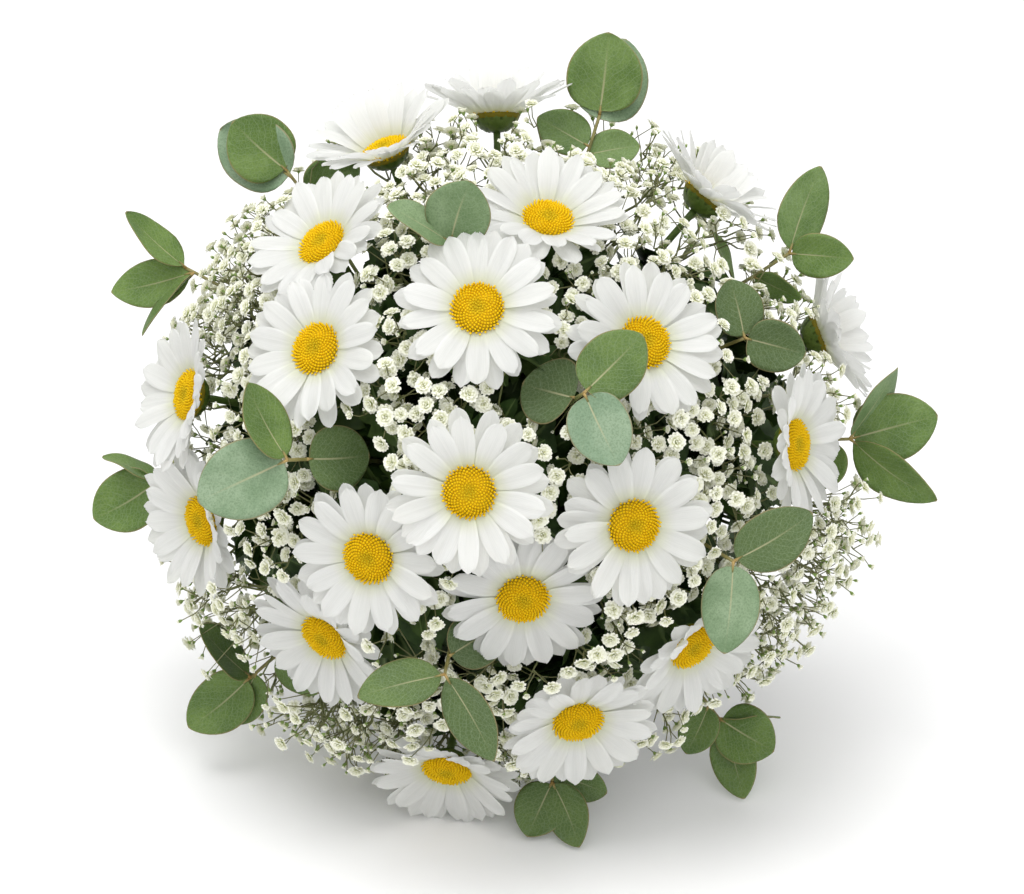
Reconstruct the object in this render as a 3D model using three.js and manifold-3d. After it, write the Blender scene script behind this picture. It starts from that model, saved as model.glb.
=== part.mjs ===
// A hand-tied round bunch of daisies with eucalyptus and baby's breath, lying on its side.
//
// The bunch is designed in its own frame, then laid down as the last step. In the bunch's frame
// the origin is the centre of the dome that the flower heads cover, +Z runs along the bunch's
// axis out of the dome's top, and +Y points to the side that lies uppermost. A place on the dome
// is a bearing, read like a clock face seen from in front with 0 at the upper side, and a lean,
// the angle away from the axis. Units are millimetres and degrees.
import * as THREE from "three";
import { mergeVertices } from "three/addons/utils/BufferGeometryUtils.js";
import Module from "manifold-3d";

const wasm = await Module();
wasm.setup();
const { degToRad } = THREE.MathUtils;

// ---------------------------------------------------------------- driving sizes

// daisies
const HEAD_DIAMETER = 68; // across the ray florets
const DISC_SHARE = 0.325; // of the head, for the yellow disc
const DISC_DIAMETER = HEAD_DIAMETER * DISC_SHARE;
const DISC_RISE = 4.2;
const RAY_COUNT = 12;
const RAY_THICKNESS = 1.1;
const CALYX_DIAMETER = 15;
const CALYX_HEIGHT = 6;
const DAISY_STEM_DIAMETER = 3.2;

// the dome: the heads sit side by side over it, so it grows with them
const DOME_PER_HEAD = 2.2;
const DOME_RADIUS = HEAD_DIAMETER * DOME_PER_HEAD;

// eucalyptus
const SPRIG_STEM_DIAMETER = 2.8;
const SHOOT_DIAMETER = 2;
const LEAF_THICKNESS = 0.9;
const SHOOT_SHARE = 0.66; // where the second shoot leaves a sprig, as a share of its length

// baby's breath
const SPRAY_STEM_DIAMETER = 2.4;
const BRANCH_DIAMETER = 1.2;
const FLORET_DIAMETER = 7;
const FLORETS_PER_SPRAY = 7;

// the tied waist and the cut ends
const WAIST_BELOW_DOME = 92; // from the dome's centre to the middle of the binding
const WAIST_TO_CUT_ENDS = 150;
const CUT_END_SPREAD = 3.1; // how much wider the bundle is at its cut ends than at the waist
const TWINE_DIAMETER = 2.2;
const TWINE_TURNS = 5;

// clearances
const GAP = 0.35; // between two separate pieces that touch
const STEM_GAP = 0.9; // between neighbouring stems at the waist

// ---------------------------------------------------------------- the planting plan

// The plan is drawn for heads of this diameter, and its lengths grow with the real ones.
const PLAN_HEAD_DIAMETER = 68;
const PLAN_SCALE = HEAD_DIAMETER / PLAN_HEAD_DIAMETER;

// Daisies: [bearing, lean, sink below the dome, bearing faced, lean faced, how far the tips cup up]
const DAISIES = [
  [216, 9, -4, 216, 7, 1],
  [122, 25, 1, 122, 19, 1],
  [349, 22, -2, 349, 16, 1],
  [54, 29, 2, 54, 24, 2],
  [297, 36, 1, 297, 33, 2],
  [230, 30, 4, 230, 27, 2],
  [173, 29, 17, 173, 29, 1],
  [11, 43, 9, 11, 44, 8],
  [318, 53, 6, 318, 47, 5],
  [165, 57, 5, 165, 42, 5],
  [190, 76, 2, 190, 54, 6],
  [137, 56, 9, 137, 48, 4],
  [90, 57, 3, 90, 55, 4],
  [279, 69, 2, 279, 57, 5],
  [256, 70, 6.5, 256, 51, 5],
  [223, 54, 12, 223, 50, 3],
  [358.5, 84, 3, 358, 93, 11],
  [338, 74, 6, 338, 64, 10],
  [39, 73, 5, 40, 90, 10],
  [71, 86, 2, 71, 93, 11],
];

// Eucalyptus sprigs: each is one branch with one or two leafy shoots. A shoot ends at
// [bearing, lean, height above the dome], and each of its leaves is
// [bearing, rise towards the dome's top, roll, length, width, distance back from the shoot's end].
const SPRIGS = [
  [
    {
      end: [16, 87, 4],
      leaves: [
        [6, 10, 0, 37, 34, 0],
        [19, -10, 10, 41, 34, 2],
        [300, -5, 15, 27, 21, 16],
        [80, -5, -10, 24, 18, 18],
      ],
    },
    {
      end: [345, 34.5, 5],
      leaves: [
        [20, 34, 0, 31, 28, 0],
        [299, 22, 50, 32, 20, 1],
      ],
    },
  ],
  [
    {
      end: [321.5, 88, 7],
      leaves: [
        [312, 12, 5, 33, 31, 0],
        [304, -8, -10, 40, 32, 2],
        [66, -5, 20, 28, 22, 10],
      ],
    },
    {
      end: [299, 90, 14],
      leaves: [
        [313, 12, 50, 37, 20, 0],
        [257, -8, 8, 39, 22, 2],
        [217, 22, 75, 39, 18, 3],
      ],
    },
  ],
  [
    {
      end: [266, 34, 12],
      leaves: [
        [245, 8, 0, 41, 33, 0],
        [333, 15, 45, 37, 24, 0],
        [86, -30, 0, 30, 28, 14],
      ],
    },
    {
      end: [264, 93, 8],
      leaves: [
        [240, -5, 5, 34, 28, 0],
        [294, -8, 70, 28, 18, 1],
      ],
    },
  ],
  [
    {
      end: [227.6, 93, 6],
      leaves: [
        [231, 0, 5, 36, 26, 0],
        [318, 32, 55, 38, 22, 1],
        [205, -14, 10, 27, 22, 3],
        [130, 8, 45, 26, 20, 13],
      ],
    },
    {
      end: [194.6, 40, 5],
      leaves: [
        [256, 10, 25, 38, 22, 0],
        [150, 8, 25, 42, 22, 0],
        [60, -25, 0, 28, 24, 13],
      ],
    },
  ],
  [
    {
      end: [57, 14, 11],
      leaves: [
        [45, 6, 0, 34, 27, 0],
        [154, 6, 0, 33, 26, 0],
        [285, -28, 20, 26, 31, 13],
      ],
    },
  ],
  [
    {
      end: [56, 81, 4],
      leaves: [
        [20, 0, 25, 41, 24, 0],
        [96, 22, 8, 30, 20, 0],
        [335, 25, 70, 30, 14, 30],
        [116, 14, 40, 24, 14, 18],
      ],
    },
    {
      end: [66, 55, -12],
      leaves: [
        [105, 0, 10, 27, 23, 0],
        [345, 0, 15, 26, 22, 0],
      ],
    },
  ],
  [
    {
      end: [89, 93, 6],
      leaves: [
        [75, 0, 5, 41, 31, 0],
        [33, 12, 60, 39, 22, 0],
        [125, 2, 40, 48, 24, 1],
        [196, -14, 15, 24, 20, 7],
      ],
    },
    {
      end: [117, 44, 6],
      leaves: [
        [58, 4, 0, 39, 25, 0],
        [186, 4, 0, 39, 25, 0],
      ],
    },
  ],
  [
    {
      end: [142, 90, 10],
      leaves: [
        [120, 16, 0, 29, 27, 2],
        [165, 5, 15, 34, 21, 0],
        [89, -8, 80, 28, 16, 3],
        [205, -2, 10, 24, 18, 12],
      ],
    },
    {
      end: [172, 80, 3],
      leaves: [
        [205, 14, 10, 27, 23, 0],
        [157, 24, 15, 33, 20, 0],
        [110, -2, 15, 26, 18, 3],
      ],
    },
  ],
];

// Sprays of baby's breath: [bearing, lean, angle that the spray spreads over]
const SPRAYS = [
  [345, 56, 19],
  [27, 62, 19],
  [301, 68, 15],
  [250, 20, 15],
  [270, 52, 15],
  [238, 78, 17],
  [88, 33, 17],
  [77, 62, 15],
  [112, 70, 24],
  [206, 76, 17],
  [152, 42, 16],
];

// ---------------------------------------------------------------- geometry helpers

// A closed geometry as a manifold-3d solid.
function solid(geometry) {
  const bare = geometry.index ? geometry.toNonIndexed() : geometry.clone();
  for (const name of ["normal", "uv"]) bare.deleteAttribute(name);
  const merged = mergeVertices(bare, 1e-4);
  const corners = merged.index.array;
  const kept = [];
  for (let i = 0; i < corners.length; i += 3) {
    const [a, b, c] = corners.slice(i, i + 3);
    if (a !== b && b !== c && c !== a) kept.push(a, b, c);
  }
  const vertProperties = merged.attributes.position.array;
  const triVerts = new Uint32Array(kept);
  return new wasm.Manifold(new wasm.Mesh({ numProp: 3, vertProperties, triVerts }));
}

// Several solids that touch, as one geometry.
function joined(solids) {
  const mesh = solids.reduce((all, next) => all.add(next)).getMesh();
  const points = new Float32Array(mesh.numVert * 3);
  for (let i = 0; i < mesh.numVert; i++) {
    points.set(mesh.vertProperties.subarray(i * mesh.numProp, i * mesh.numProp + 3), i * 3);
  }
  const geometry = new THREE.BufferGeometry();
  geometry.setAttribute("position", new THREE.BufferAttribute(points, 3));
  geometry.setIndex(new THREE.BufferAttribute(new Uint32Array(mesh.triVerts), 1));
  geometry.computeVertexNormals();
  return geometry;
}

// A regular outline of some number of sides.
function ring(sides, radius) {
  const points = [];
  for (let i = 0; i < sides; i++) {
    const angle = (i / sides) * 2 * Math.PI;
    points.push(new THREE.Vector2(radius * Math.cos(angle), radius * Math.sin(angle)));
  }
  return points;
}

// A closed round tube along a curve.
function tube(path, diameter, steps, sides = 6) {
  const section = new THREE.Shape(ring(sides, diameter / 2));
  return new THREE.ExtrudeGeometry(section, { steps, extrudePath: path, bevelEnabled: false });
}

// A straight tapered rod between two points.
function rod(from, to, diameter, sides = 4) {
  const along = to.clone().sub(from);
  const length = along.length();
  const geometry = new THREE.CylinderGeometry(diameter / 2, diameter / 2, length, sides);
  geometry.translate(0, length / 2, 0);
  geometry.applyQuaternion(
    new THREE.Quaternion().setFromUnitVectors(new THREE.Vector3(0, 1, 0), along.normalize()),
  );
  return geometry.translate(from.x, from.y, from.z);
}

// Moves a geometry made around +Z to a point, with its +Z along a direction.
function stood(geometry, at, facing) {
  const up = new THREE.Vector3(0, 0, 1);
  geometry.applyQuaternion(new THREE.Quaternion().setFromUnitVectors(up, facing));
  return geometry.translate(at.x, at.y, at.z);
}

// The unit direction at a bearing and a lean.
function heading(bearing, lean) {
  const b = degToRad(bearing);
  const l = degToRad(lean);
  return new THREE.Vector3(Math.sin(l) * Math.sin(b), Math.sin(l) * Math.cos(b), Math.cos(l));
}

// A point of the dome, at a height above its surface as the plan gives it.
const onDome = (bearing, lean, height) =>
  heading(bearing, lean).multiplyScalar(DOME_RADIUS + height * PLAN_SCALE);

// ---------------------------------------------------------------- the bundle of stems

const WAIST_Z = -WAIST_BELOW_DOME;
const CUT_Z = WAIST_Z - WAIST_TO_CUT_ENDS;
const BINDING_HEIGHT = TWINE_TURNS * TWINE_DIAMETER;
const SLOT_PITCH = Math.max(DAISY_STEM_DIAMETER, SPRIG_STEM_DIAMETER) + STEM_GAP;
// Straight stems that spiral: each turns by this many radians per millimetre at the waist.
const SPIRAL = Math.sqrt(CUT_END_SPREAD ** 2 - 1) / WAIST_TO_CUT_ENDS;
const STRAIGHT_ABOVE_WAIST = 10 + BINDING_HEIGHT / 2;
const TURN_ABOVE_WAIST = Math.atan(SPIRAL * STRAIGHT_ABOVE_WAIST);
const BEND_SHARE = 0.42; // how softly a stem bends, as a share of the distance to its end

// Slots for the stems at the waist, packed in a honeycomb, the middle one first.
function waistSlots(count) {
  const slots = [];
  const reach = Math.ceil(Math.sqrt(count)) + 1;
  for (let row = -reach; row <= reach; row++) {
    for (let column = -reach; column <= reach; column++) {
      const x = (column + row / 2) * SLOT_PITCH;
      const y = ((row * Math.sqrt(3)) / 2) * SLOT_PITCH;
      slots.push(new THREE.Vector2(x, y));
    }
  }
  return slots.sort((a, b) => a.length() - b.length()).slice(0, count);
}

// Where the straight part of a slot's stem is at a height of the bunch.
function onStraight(slot, z) {
  const turn = SPIRAL * (z - WAIST_Z);
  return new THREE.Vector3(slot.x - turn * slot.y, slot.y + turn * slot.x, z);
}

// A stem's line: straight from its cut end through the waist, then bending to its end.
function stemPath(slot, end, facing) {
  const cut = onStraight(slot, CUT_Z);
  const bend = onStraight(slot, WAIST_Z + STRAIGHT_ABOVE_WAIST);
  const handle = BEND_SHARE * bend.distanceTo(end);
  const rising = bend.clone().sub(cut).normalize();
  const path = new THREE.CurvePath();
  path.add(new THREE.LineCurve3(cut, bend));
  path.add(
    new THREE.CubicBezierCurve3(
      bend,
      bend.clone().addScaledVector(rising, handle),
      end.clone().addScaledVector(facing, -handle),
      end,
    ),
  );
  return path;
}

// Gives each stem its own slot: first the free one nearest its own side of the bunch, then
// stems that would run into each other swap slots until they are clear.
function shareSlots(stems) {
  const slots = waistSlots(stems.length);
  const edge = slots[slots.length - 1].length();
  const pairs = [];
  stems.forEach(({ end }, stem) => {
    const side = Math.atan2(end.x, end.y) + TURN_ABOVE_WAIST;
    const radius = edge * Math.min(1, new THREE.Vector3(0, 0, 1).angleTo(end) / (Math.PI / 2));
    const wanted = new THREE.Vector2(radius * Math.sin(side), radius * Math.cos(side));
    slots.forEach((slot, index) => pairs.push({ stem, index, far: slot.distanceTo(wanted) }));
  });
  pairs.sort((a, b) => a.far - b.far);
  const given = [];
  const taken = new Set();
  for (const { stem, index } of pairs) {
    if (given[stem] !== undefined || taken.has(index)) continue;
    given[stem] = index;
    taken.add(index);
  }
  const known = new Map();
  const samples = (stem, index) => {
    const key = stem * slots.length + index;
    if (!known.has(key)) {
      const bend = stemPath(slots[index], stems[stem].end, stems[stem].facing).curves[1];
      known.set(key, bend.getPoints(50).slice(0, 40));
    }
    return known.get(key);
  };
  // How much closer than allowed two stems come, 0 if they are clear.
  const crowding = (one, other) => {
    const needed = (stems[one].diameter + stems[other].diameter) / 2 + GAP + 0.3;
    const others = samples(other, given[other]);
    let least = needed * needed;
    for (const point of samples(one, given[one])) {
      for (const near of others) least = Math.min(least, point.distanceToSquared(near));
    }
    return needed - Math.sqrt(least);
  };
  const crowdingOf = (one) =>
    stems.reduce((sum, _, other) => (other === one ? sum : sum + crowding(one, other)), 0);
  for (let sweep = 0; sweep < 4; sweep++) {
    for (let one = 0; one < stems.length; one++) {
      for (let other = 0; other < stems.length && crowdingOf(one) > 0; other++) {
        if (other === one) continue;
        const before = crowdingOf(one) + crowdingOf(other);
        [given[one], given[other]] = [given[other], given[one]];
        if (crowdingOf(one) + crowdingOf(other) < before - 1e-6) continue;
        [given[one], given[other]] = [given[other], given[one]];
      }
    }
  }
  return given.map((index) => slots[index]);
}

// ---------------------------------------------------------------- room between the pieces

// What the baby's breath has to grow round: stems, round flower heads and leaves.
const room = { stems: [], heads: [], leaves: [], florets: [] };
const CHECK_EVERY = 5; // along a stem or a branch

function blockStem(path, diameter) {
  const points = path.getSpacedPoints(Math.ceil(path.getLength() / CHECK_EVERY));
  room.stems.push(...points.map((at) => ({ at, radius: diameter / 2 + CHECK_EVERY / 4 })));
}

// True if a ball is clear of everything placed so far.
function isClear(at, radius) {
  const apart = radius + GAP;
  const fromBalls = [...room.stems, ...room.florets].every(
    (ball) => ball.at.distanceTo(at) > ball.radius + apart,
  );
  const fromHeads = room.heads.every(({ centre, normal, low, high }) => {
    const offset = at.clone().sub(centre);
    const height = offset.dot(normal);
    const across = Math.sqrt(Math.max(0, offset.lengthSq() - height * height));
    return across > HEAD_DIAMETER / 2 + apart || height > high + apart || height < low - apart;
  });
  const fromLeaves = room.leaves.every(({ base, along, normal, length, width }) => {
    const offset = at.clone().sub(base);
    const height = Math.abs(offset.dot(normal));
    const run = offset.dot(along);
    const across = Math.sqrt(Math.max(0, offset.lengthSq() - height * height - run * run));
    const inside = run > -apart && run < length + apart && across < width / 2 + apart;
    return !inside || height > LEAF_THICKNESS + apart;
  });
  return fromBalls && fromHeads && fromLeaves;
}

function isLineClear(from, to, radius) {
  const steps = Math.ceil(from.distanceTo(to) / CHECK_EVERY);
  for (let i = 1; i <= steps; i++) {
    if (!isClear(from.clone().lerp(to, i / steps), radius)) return false;
  }
  return true;
}

// ---------------------------------------------------------------- daisies

const DISC_SEAT = 1; // the disc's underside, below the rays
// One ray's edge: its share of the turn round the head, and how far out it reaches.
const RAY_OUTLINE = [
  [0, 0.78],
  [0.2, 0.96],
  [0.5, 1],
  [0.8, 0.96],
];

// The ray florets: a scalloped plate with a hole for the disc, its tips cupped up.
function rays(cup) {
  const radius = HEAD_DIAMETER / 2;
  const hole = DISC_DIAMETER / 2 - 2;
  const outline = [];
  for (let ray = 0; ray < RAY_COUNT; ray++) {
    for (const [share, reach] of RAY_OUTLINE) {
      const angle = ((ray + share) / RAY_COUNT) * 2 * Math.PI;
      const point = new THREE.Vector2(Math.cos(angle), Math.sin(angle));
      outline.push(point.multiplyScalar(radius * reach));
    }
  }
  const shape = new THREE.Shape(outline);
  shape.holes.push(new THREE.Path(ring(10, hole)));
  const plate = new THREE.ExtrudeGeometry(shape, { depth: RAY_THICKNESS, bevelEnabled: false });
  const points = plate.attributes.position;
  for (let i = 0; i < points.count; i++) {
    const out = Math.hypot(points.getX(i), points.getY(i)) - hole;
    points.setZ(i, points.getZ(i) + cup * (out / (radius - hole)));
  }
  return plate;
}

// The yellow disc: a low dome over the rays' inner ends.
function disc() {
  const radius = DISC_DIAMETER / 2;
  const profile = [
    [0, -DISC_SEAT],
    [radius * 0.85, -DISC_SEAT],
    [radius, 0.6 + RAY_THICKNESS],
    [radius * 0.62, RAY_THICKNESS + DISC_RISE * 0.75],
    [0, RAY_THICKNESS + DISC_RISE],
  ];
  return new THREE.LatheGeometry(profile.map(([x, y]) => new THREE.Vector2(x, y)), 10).rotateX(
    Math.PI / 2,
  );
}

// The green cup under the head, at the top of the stem.
function calyx() {
  const top = -DISC_SEAT - GAP;
  const profile = [
    [0, top - CALYX_HEIGHT],
    [DAISY_STEM_DIAMETER / 2 + 0.2, top - CALYX_HEIGHT],
    [CALYX_DIAMETER / 2, top - 1.2],
    [CALYX_DIAMETER / 2, top],
    [0, top],
  ];
  return new THREE.LatheGeometry(profile.map(([x, y]) => new THREE.Vector2(x, y)), 8).rotateX(
    Math.PI / 2,
  );
}

function daisyPlace([bearing, lean, sink, facedBearing, facedLean, rise]) {
  const centre = onDome(bearing, lean, -sink);
  const cup = rise * PLAN_SCALE;
  const facing = heading(facedBearing, facedLean);
  const below = DISC_SEAT + GAP + CALYX_HEIGHT - 1;
  const stemEnd = centre.clone().addScaledVector(facing, -below);
  return { centre, facing, cup, stemEnd };
}

function daisyHead({ centre, facing, cup }) {
  const head = joined([solid(rays(cup)), solid(disc())]);
  return stood(head, centre, facing);
}

function daisyStem({ centre, facing, stemEnd }, slot) {
  const path = stemPath(slot, stemEnd, facing);
  blockStem(path, DAISY_STEM_DIAMETER);
  const cup = stood(calyx(), centre, facing);
  return joined([solid(tube(path, DAISY_STEM_DIAMETER, 11)), solid(cup)]);
}

// ---------------------------------------------------------------- eucalyptus

// An ovate leaf lying along +X from its stalk end, facing +Z.
function leafBlade(length, width) {
  const half = width / 2;
  const outline = [
    [-0.6, -0.8],
    [0.16 * length, -0.72 * half],
    [0.42 * length, -half],
    [0.76 * length, -0.7 * half],
    [length, 0],
    [0.76 * length, 0.7 * half],
    [0.42 * length, half],
    [0.16 * length, 0.72 * half],
    [-0.6, 0.8],
  ];
  const shape = new THREE.Shape(outline.map(([x, y]) => new THREE.Vector2(x, y)));
  const blade = new THREE.ExtrudeGeometry(shape, { depth: LEAF_THICKNESS, bevelEnabled: false });
  return blade.translate(0, 0, -LEAF_THICKNESS / 2);
}

// The way a leaf points and faces, from its bearing, rise and roll.
function leafFrame(bearing, rise, roll) {
  const b = degToRad(bearing);
  const r = degToRad(rise);
  const along = new THREE.Vector3(
    Math.cos(r) * Math.sin(b),
    Math.cos(r) * Math.cos(b),
    Math.sin(r),
  );
  const normal = new THREE.Vector3(0, 0, 1).addScaledVector(along, -along.z).normalize();
  normal.applyAxisAngle(along, degToRad(roll));
  return { along, normal, across: normal.clone().cross(along) };
}

function shootPath(shoot, trunk) {
  const [bearing, lean, height] = shoot.end;
  const end = onDome(bearing, lean, height);
  const start = trunk.getPointAt(SHOOT_SHARE);
  const reach = start.distanceTo(end) * 0.4;
  return new THREE.CubicBezierCurve3(
    start,
    start.clone().addScaledVector(trunk.getTangentAt(SHOOT_SHARE), reach),
    end.clone().addScaledVector(heading(bearing, lean), -reach),
    end,
  );
}

function sprig(shoots, slot) {
  const [bearing, lean, height] = shoots[0].end;
  const trunk = stemPath(slot, onDome(bearing, lean, height), heading(bearing, lean));
  const solids = [solid(tube(trunk, SPRIG_STEM_DIAMETER, 11))];
  blockStem(trunk, SPRIG_STEM_DIAMETER);
  shoots.forEach((shoot, order) => {
    const path = order === 0 ? trunk : shootPath(shoot, trunk);
    if (order > 0) {
      solids.push(solid(tube(path, SHOOT_DIAMETER, 6)));
      blockStem(path, SHOOT_DIAMETER);
    }
    for (const [leafBearing, rise, roll, ...lengths] of shoot.leaves) {
      const [length, width, back] = lengths.map((size) => size * PLAN_SCALE);
      const base = path.getPointAt(1 - back / path.getLength());
      const { along, normal, across } = leafFrame(leafBearing, rise, roll);
      const blade = leafBlade(length, width);
      blade.applyMatrix4(new THREE.Matrix4().makeBasis(along, across, normal).setPosition(base));
      solids.push(solid(blade));
      room.leaves.push({ base, along, normal, length, width });
    }
  });
  return joined(solids);
}

// ---------------------------------------------------------------- baby's breath

const FORK_SHARE = 0.66; // of the dome's radius, where a spray's stem ends
const BRANCHED_SHARE = 0.2; // of that stem, where its branches leave it
const GOLDEN_ANGLE = 137.508;

function spray([bearing, lean, spread], slot) {
  const outward = heading(bearing, lean);
  const path = stemPath(slot, outward.clone().multiplyScalar(DOME_RADIUS * FORK_SHARE), outward);
  blockStem(path, SPRAY_STEM_DIAMETER);
  const solids = [solid(tube(path, SPRAY_STEM_DIAMETER, 9, 5))];
  const side = new THREE.Vector3(outward.y, -outward.x, 0).normalize();
  const tries = FLORETS_PER_SPRAY * 12;
  const placed = [];
  for (let i = 0; i < tries && placed.length < FLORETS_PER_SPRAY; i++) {
    const tilt = degToRad(spread) * Math.sqrt((i + 0.5) / tries);
    const tip = outward.clone().applyAxisAngle(side, tilt);
    tip.applyAxisAngle(outward, degToRad(i * GOLDEN_ANGLE));
    tip.multiplyScalar(DOME_RADIUS + 3 * Math.sin(i));
    const joint = path.getPointAt(1 - BRANCHED_SHARE * (placed.length / FLORETS_PER_SPRAY) - 0.005);
    const free = isClear(tip, FLORET_DIAMETER / 2);
    if (!free || !isLineClear(joint.clone().lerp(tip, 0.2), tip, BRANCH_DIAMETER / 2)) continue;
    placed.push({ joint, tip });
    room.florets.push({ at: tip, radius: FLORET_DIAMETER / 2 });
  }
  for (const { joint, tip } of placed) {
    const floret = new THREE.OctahedronGeometry(FLORET_DIAMETER / 2);
    solids.push(solid(rod(joint, tip, BRANCH_DIAMETER, 3)));
    solids.push(solid(floret.translate(tip.x, tip.y, tip.z)));
    const length = joint.distanceTo(tip);
    for (let run = CHECK_EVERY; run < length; run += CHECK_EVERY) {
      room.stems.push({ at: joint.clone().lerp(tip, run / length), radius: BRANCH_DIAMETER });
    }
  }
  return joined(solids);
}

// ---------------------------------------------------------------- binding

// Turns of twine round the waist, as one ring with a ridge for each turn.
function binding(bundleRadius) {
  const inner = bundleRadius + STEM_GAP;
  const profile = [new THREE.Vector2(inner, -BINDING_HEIGHT / 2)];
  for (let turn = 0; turn < TWINE_TURNS; turn++) {
    const low = -BINDING_HEIGHT / 2 + turn * TWINE_DIAMETER;
    profile.push(new THREE.Vector2(inner + TWINE_DIAMETER * 0.6, low));
    profile.push(new THREE.Vector2(inner + TWINE_DIAMETER, low + TWINE_DIAMETER / 2));
  }
  profile.push(new THREE.Vector2(inner + TWINE_DIAMETER * 0.6, BINDING_HEIGHT / 2));
  profile.push(new THREE.Vector2(inner, BINDING_HEIGHT / 2));
  profile.push(profile[0].clone());
  return new THREE.LatheGeometry(profile, 18).rotateX(Math.PI / 2).translate(0, 0, WAIST_Z);
}

// ---------------------------------------------------------------- the bunch

const materials = {
  rays: new THREE.MeshStandardMaterial({ color: 0xf6f6f2, roughness: 0.6 }),
  daisyStem: new THREE.MeshStandardMaterial({ color: 0x4f7031, roughness: 0.6 }),
  eucalyptus: new THREE.MeshStandardMaterial({ color: 0x5f8462, roughness: 0.55 }),
  gypsophila: new THREE.MeshStandardMaterial({ color: 0xeef0e2, roughness: 0.7 }),
  twine: new THREE.MeshStandardMaterial({ color: 0xb79a6a, roughness: 0.9 }),
};

const bunch = new THREE.Group();

function add(name, geometry, material) {
  const mesh = new THREE.Mesh(geometry, material);
  mesh.name = name;
  bunch.add(mesh);
}

const numbered = (name, index) => `${name}_${String(index + 1).padStart(2, "0")}`;

const places = DAISIES.map(daisyPlace);
const stems = [
  ...places.map(({ stemEnd, facing }) => ({
    end: stemEnd,
    facing,
    diameter: DAISY_STEM_DIAMETER,
  })),
  ...SPRIGS.map(([{ end: [bearing, lean, height] }]) => ({
    end: onDome(bearing, lean, height),
    facing: heading(bearing, lean),
    diameter: SPRIG_STEM_DIAMETER,
  })),
  ...SPRAYS.map(([bearing, lean]) => ({
    end: heading(bearing, lean).multiplyScalar(DOME_RADIUS * FORK_SHARE),
    facing: heading(bearing, lean),
    diameter: SPRAY_STEM_DIAMETER,
  })),
];
const slots = shareSlots(stems);
const bundleRadius =
  Math.max(...slots.map((slot) => slot.length())) +
  Math.max(...stems.map(({ diameter }) => diameter)) / 2;

places.forEach((place, index) => {
  const name = numbered("daisy", index);
  add(`${name}_head`, daisyHead(place), materials.rays);
  add(`${name}_stem`, daisyStem(place, slots[index]), materials.daisyStem);
  const high = RAY_THICKNESS + Math.max(DISC_RISE, place.cup);
  room.heads.push({ centre: place.centre, normal: place.facing, low: -2, high });
});
SPRIGS.forEach((shoots, index) => {
  const slot = slots[DAISIES.length + index];
  add(numbered("eucalyptus_sprig", index), sprig(shoots, slot), materials.eucalyptus);
});
SPRAYS.forEach((row, index) => {
  const slot = slots[DAISIES.length + SPRIGS.length + index];
  add(numbered("babys_breath_spray", index), spray(row, slot), materials.gypsophila);
});
add("twine_binding", binding(bundleRadius), materials.twine);

// ---------------------------------------------------------------- laying the bunch down

// How high above the surface a point of the bunch lies, once its axis slopes by an angle.
const heightAt = (point, slope) => point.y * Math.cos(slope) + point.z * Math.sin(slope);

// The slope at which the lowest flower or leaf and the lowest cut end touch one flat surface.
function restingSlope() {
  const points = [];
  for (const mesh of bunch.children) {
    const all = mesh.geometry.attributes.position;
    for (let i = 0; i < all.count; i++) points.push(new THREE.Vector3().fromBufferAttribute(all, i));
  }
  const flowers = points.filter((point) => point.z > WAIST_Z);
  const ends = points.filter((point) => point.z <= WAIST_Z);
  const lowest = (some, slope) =>
    some.reduce((least, point) => Math.min(least, heightAt(point, slope)), Infinity);
  let [flat, steep] = [0, Math.PI / 3];
  for (let i = 0; i < 40; i++) {
    const slope = (flat + steep) / 2;
    if (lowest(flowers, slope) < lowest(ends, slope)) flat = slope;
    else steep = slope;
  }
  return flat;
}

bunch.rotation.x = Math.PI / 2 - restingSlope();
const laid = new THREE.Group();
laid.add(bunch);
laid.updateMatrixWorld(true);
const box = new THREE.Box3().setFromObject(laid, true);
const middle = box.getCenter(new THREE.Vector3());
bunch.position.set(-middle.x, -middle.y, -box.min.z);

export default laid;
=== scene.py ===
"""The visible surfaces of the bunch of daisies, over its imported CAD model. Metres."""

import math
import random
from itertools import product

import bmesh
import bpy
import numpy as np
from mathutils import Matrix, Vector, noise


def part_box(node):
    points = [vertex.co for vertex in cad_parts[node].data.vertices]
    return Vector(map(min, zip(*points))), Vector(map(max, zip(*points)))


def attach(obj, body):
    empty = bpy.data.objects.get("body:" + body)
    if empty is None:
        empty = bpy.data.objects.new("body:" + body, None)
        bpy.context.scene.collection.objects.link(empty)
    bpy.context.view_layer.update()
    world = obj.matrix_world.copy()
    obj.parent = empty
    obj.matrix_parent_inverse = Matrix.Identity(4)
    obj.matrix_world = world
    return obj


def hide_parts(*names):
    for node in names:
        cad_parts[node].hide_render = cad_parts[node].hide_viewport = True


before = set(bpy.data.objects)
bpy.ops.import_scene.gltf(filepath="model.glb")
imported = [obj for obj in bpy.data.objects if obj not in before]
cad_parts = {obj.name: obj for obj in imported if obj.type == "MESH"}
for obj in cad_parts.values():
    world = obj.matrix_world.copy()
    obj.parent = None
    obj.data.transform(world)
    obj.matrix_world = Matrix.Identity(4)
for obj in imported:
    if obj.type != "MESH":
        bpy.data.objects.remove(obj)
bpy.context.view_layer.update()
scene = bpy.context.scene
MM = 0.001

# ---------------------------------------------------------------- sizes shared with the CAD

HEAD_RADIUS = 34 * MM
DISC_RADIUS = 11 * MM
DISC_SEAT = 1 * MM  # the disc's underside, below the ray florets
DOME_RADIUS = 149.6 * MM
WAIST_BELOW_DOME = 92 * MM
CALYX_HEIGHT = 6 * MM
TWINE_TURNS = 5
TWINE_DIAMETER = 2.2 * MM
FLOOR_CLEAR = 0.2 * MM

DAISIES = 20
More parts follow.
